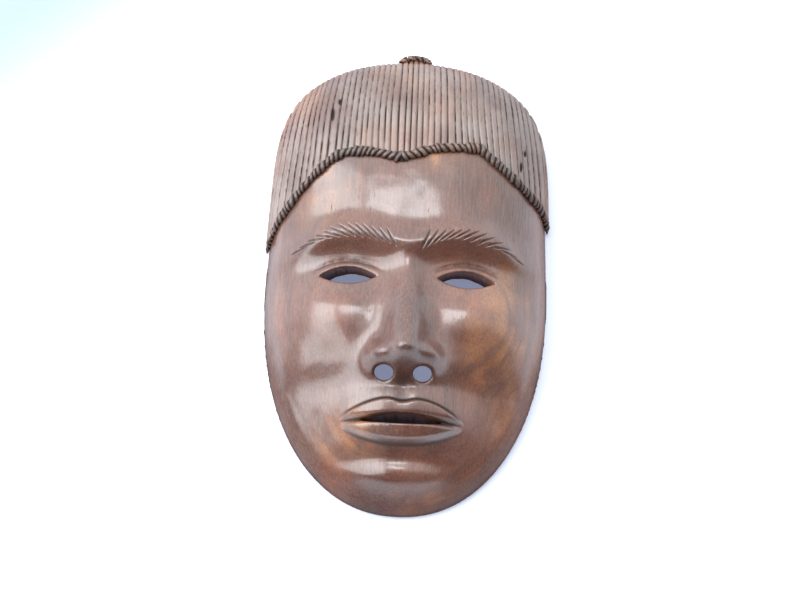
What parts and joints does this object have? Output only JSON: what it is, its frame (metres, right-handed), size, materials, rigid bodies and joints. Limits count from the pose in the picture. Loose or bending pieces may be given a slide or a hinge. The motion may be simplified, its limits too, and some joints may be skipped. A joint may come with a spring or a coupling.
{
  "type": "carved wooden wall mask",
  "caption": "Hand-carved wooden wall mask with a ribbed cap of hair, pierced eyes, nostrils and mouth, a hollowed back, and a hinged metal ring to hang it by.",
  "frame": {"origin": "centre of the bounding box's base, on the flat back plane that the mask lies on", "axes": "+Z out of the face, +Y from the chin to the crown, +X to the right of someone looking at the face"},
  "size_m": [0.172, 0.29, 0.0712],
  "materials": {
    "carved_wood": "waxed reddish-brown hardwood with a soft gloss",
    "strap_brass": "aged, satin",
    "ring_steel": "dull nickel-plated wire",
    "screw_steel": "dull, slotted"
  },
  "bodies": {
    "mask": {"mask_carving": "carved_wood", "hanger_strap": "strap_brass", "hanger_screw_lower": "screw_steel", "hanger_screw_upper": "screw_steel"},
    "ring": {"hanger_ring": "ring_steel"}
  },
  "joints": [
    {"name": "ring_hinge", "type": "hinge", "parent": "mask", "child": "ring", "pos_m": [0, 0.111, 0.0034], "axis": [-1, 0, 0], "range_deg": [-9, 140]}
  ]
}
